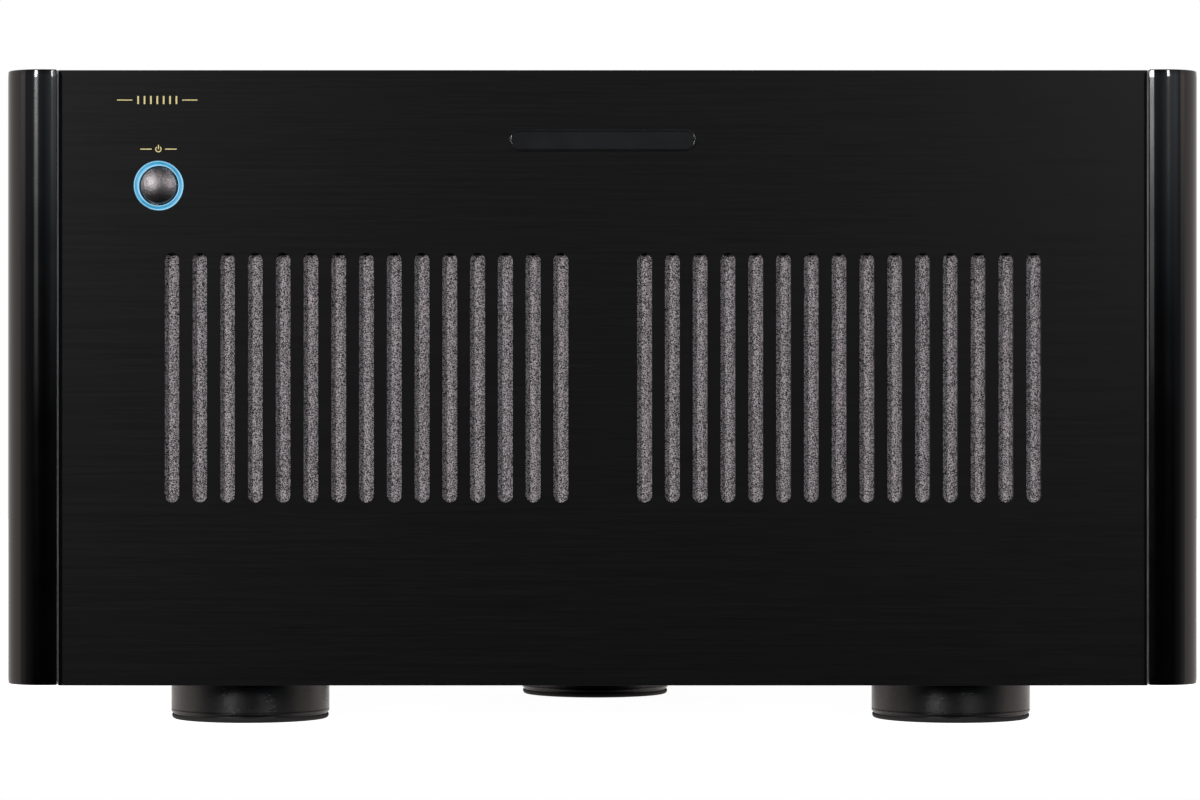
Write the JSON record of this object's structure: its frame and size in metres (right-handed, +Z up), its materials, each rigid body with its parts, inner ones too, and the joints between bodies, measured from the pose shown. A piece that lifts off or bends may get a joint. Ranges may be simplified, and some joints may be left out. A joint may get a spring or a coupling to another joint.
{
  "type": "power amplifier",
  "caption": "Wide black box with a slotted front, rounded corner pillars, a round lit power button and round feet; signal sockets and speaker terminals behind.",
  "frame": {"origin": "on the standing surface, under the middle of the bounding box", "axes": "+Z up, -Y out of the front plate, +X to the right as seen from the front"},
  "size_m": [0.431, 0.454, 0.237],
  "materials": {
    "anodised_front": "satin",
    "gloss_pillar": "gloss",
    "textured_grey": "matte",
    "black_badge": "satin",
    "blue_light": "gloss",
    "satin_button": "satin",
    "circuit_board": "satin",
    "black_steel": "satin",
    "foot_plastic": "satin",
    "foot_rubber": "matte",
    "heat_sink": "satin",
    "black_plastic": "satin",
    "transformer_winding": "gloss",
    "zinc_steel": "satin",
    "capacitor_can": "gloss",
    "gold_plate": "gloss",
    "white_plastic": "satin",
    "pin_metal": "gloss",
    "black_screw": "satin",
    "grey_lever": "satin",
    "red_cap": "gloss",
    "black_cap": "gloss"
  },
  "bodies": {
    "chassis": {"front_plate": "anodised_front", "left_pillar": "gloss_pillar", "right_pillar": "gloss_pillar", "front_subpanel": "textured_grey", "front_badge": "black_badge", "led_ring": "blue_light", "standby_board": "circuit_board", "top_cover": "black_steel", "left_side_panel": "black_steel", "right_side_panel": "black_steel", "base_plate": "black_steel", "rear_panel": "black_steel", "foot_bodies": "foot_plastic", "foot_pads": "foot_rubber", "left_heat_sink": "heat_sink", "right_heat_sink": "heat_sink", "left_amp_boards": "circuit_board", "right_amp_boards": "circuit_board", "output_transistors": "black_plastic", "left_transformer": "transformer_winding", "right_transformer": "transformer_winding", "transformer_clamps": "zinc_steel", "filter_capacitors": "capacitor_can", "power_supply_board": "circuit_board", "rectifier_bridges": "black_plastic", "input_board": "circuit_board", "xlr_shells": "black_steel", "xlr_inserts": "black_plastic", "rca_shells": "gold_plate", "rca_inserts": "white_plastic", "post_stems": "gold_plate", "post_bases": "black_plastic", "mains_inlet": "black_plastic", "mains_pins": "pin_metal", "rocker_frame": "black_plastic", "trigger_jacks": "black_plastic", "screws_and_standoffs": "black_screw"},
    "power_button": {"power_button": "satin_button"},
    "mains_rocker": {"mains_rocker": "black_plastic"},
    "input_selector_1": {"input_selector_1": "grey_lever"},
    "input_selector_2": {"input_selector_2": "grey_lever"},
    "input_selector_3": {"input_selector_3": "grey_lever"},
    "input_selector_4": {"input_selector_4": "grey_lever"},
    "input_selector_5": {"input_selector_5": "grey_lever"},
    "input_selector_6": {"input_selector_6": "grey_lever"},
    "input_selector_7": {"input_selector_7": "grey_lever"},
    "red_terminal_1": {"red_terminal_1": "red_cap"},
    "red_terminal_2": {"red_terminal_2": "red_cap"},
    "red_terminal_3": {"red_terminal_3": "red_cap"},
    "red_terminal_4": {"red_terminal_4": "red_cap"},
    "red_terminal_5": {"red_terminal_5": "red_cap"},
    "red_terminal_6": {"red_terminal_6": "red_cap"},
    "red_terminal_7": {"red_terminal_7": "red_cap"},
    "black_terminal_1": {"black_terminal_1": "black_cap"},
    "black_terminal_2": {"black_terminal_2": "black_cap"},
    "black_terminal_3": {"black_terminal_3": "black_cap"},
    "black_terminal_4": {"black_terminal_4": "black_cap"},
    "black_terminal_5": {"black_terminal_5": "black_cap"},
    "black_terminal_6": {"black_terminal_6": "black_cap"},
    "black_terminal_7": {"black_terminal_7": "black_cap"}
  },
  "joints": [
    {"name": "power_button_press", "type": "slide", "parent": "chassis", "child": "power_button", "axis": [0, 1, 0], "range_m": [0, 0.0015], "stiffness_N_per_m": 600, "springref_m": -0.001},
    {"name": "mains_rocker_tilt", "type": "hinge", "parent": "chassis", "child": "mains_rocker", "pos_m": [0.028, 0.1905, 0.056], "axis": [1, 0, 0], "range_deg": [-16, 0]},
    {"name": "input_selector_1_slide", "type": "slide", "parent": "chassis", "child": "input_selector_1", "axis": [1, 0, 0], "range_m": [0, 0.004]},
    {"name": "input_selector_2_slide", "type": "slide", "parent": "chassis", "child": "input_selector_2", "axis": [1, 0, 0], "range_m": [0, 0.004]},
    {"name": "input_selector_3_slide", "type": "slide", "parent": "chassis", "child": "input_selector_3", "axis": [1, 0, 0], "range_m": [0, 0.004]},
    {"name": "input_selector_4_slide", "type": "slide", "parent": "chassis", "child": "input_selector_4", "axis": [1, 0, 0], "range_m": [0, 0.004]},
    {"name": "input_selector_5_slide", "type": "slide", "parent": "chassis", "child": "input_selector_5", "axis": [1, 0, 0], "range_m": [0, 0.004]},
    {"name": "input_selector_6_slide", "type": "slide", "parent": "chassis", "child": "input_selector_6", "axis": [1, 0, 0], "range_m": [0, 0.004]},
    {"name": "input_selector_7_slide", "type": "slide", "parent": "chassis", "child": "input_selector_7", "axis": [1, 0, 0], "range_m": [0, 0.004]},
    {"name": "red_terminal_1_turn", "type": "hinge", "parent": "chassis", "child": "red_terminal_1", "pos_m": [-0.15247, 0.215, 0.13], "axis": [0, 1, 0], "range_deg": [0, 1440]},
    {"name": "red_terminal_2_turn", "type": "hinge", "parent": "chassis", "child": "red_terminal_2", "pos_m": [-0.09847, 0.215, 0.13], "axis": [0, 1, 0], "range_deg": [0, 1440]},
    {"name": "red_terminal_3_turn", "type": "hinge", "parent": "chassis", "child": "red_terminal_3", "pos_m": [-0.04448, 0.215, 0.13], "axis": [0, 1, 0], "range_deg": [0, 1440]},
    {"name": "red_terminal_4_turn", "type": "hinge", "parent": "chassis", "child": "red_terminal_4", "pos_m": [0.00953, 0.215, 0.13], "axis": [0, 1, 0], "range_deg": [0, 1440]},
    {"name": "red_terminal_5_turn", "type": "hinge", "parent": "chassis", "child": "red_terminal_5", "pos_m": [0.06352, 0.215, 0.13], "axis": [0, 1, 0], "range_deg": [0, 1440]},
    {"name": "red_terminal_6_turn", "type": "hinge", "parent": "chassis", "child": "red_terminal_6", "pos_m": [0.11753, 0.215, 0.13], "axis": [0, 1, 0], "range_deg": [0, 1440]},
    {"name": "red_terminal_7_turn", "type": "hinge", "parent": "chassis", "child": "red_terminal_7", "pos_m": [0.17153, 0.215, 0.13], "axis": [0, 1, 0], "range_deg": [0, 1440]},
    {"name": "black_terminal_1_turn", "type": "hinge", "parent": "chassis", "child": "black_terminal_1", "pos_m": [-0.17153, 0.215, 0.13], "axis": [0, 1, 0], "range_deg": [0, 1440]},
    {"name": "black_terminal_2_turn", "type": "hinge", "parent": "chassis", "child": "black_terminal_2", "pos_m": [-0.11753, 0.215, 0.13], "axis": [0, 1, 0], "range_deg": [0, 1440]},
    {"name": "black_terminal_3_turn", "type": "hinge", "parent": "chassis", "child": "black_terminal_3", "pos_m": [-0.06352, 0.215, 0.13], "axis": [0, 1, 0], "range_deg": [0, 1440]},
    {"name": "black_terminal_4_turn", "type": "hinge", "parent": "chassis", "child": "black_terminal_4", "pos_m": [-0.00953, 0.215, 0.13], "axis": [0, 1, 0], "range_deg": [0, 1440]},
    {"name": "black_terminal_5_turn", "type": "hinge", "parent": "chassis", "child": "black_terminal_5", "pos_m": [0.04448, 0.215, 0.13], "axis": [0, 1, 0], "range_deg": [0, 1440]},
    {"name": "black_terminal_6_turn", "type": "hinge", "parent": "chassis", "child": "black_terminal_6", "pos_m": [0.09847, 0.215, 0.13], "axis": [0, 1, 0], "range_deg": [0, 1440]},
    {"name": "black_terminal_7_turn", "type": "hinge", "parent": "chassis", "child": "black_terminal_7", "pos_m": [0.15247, 0.215, 0.13], "axis": [0, 1, 0], "range_deg": [0, 1440]}
  ]
}
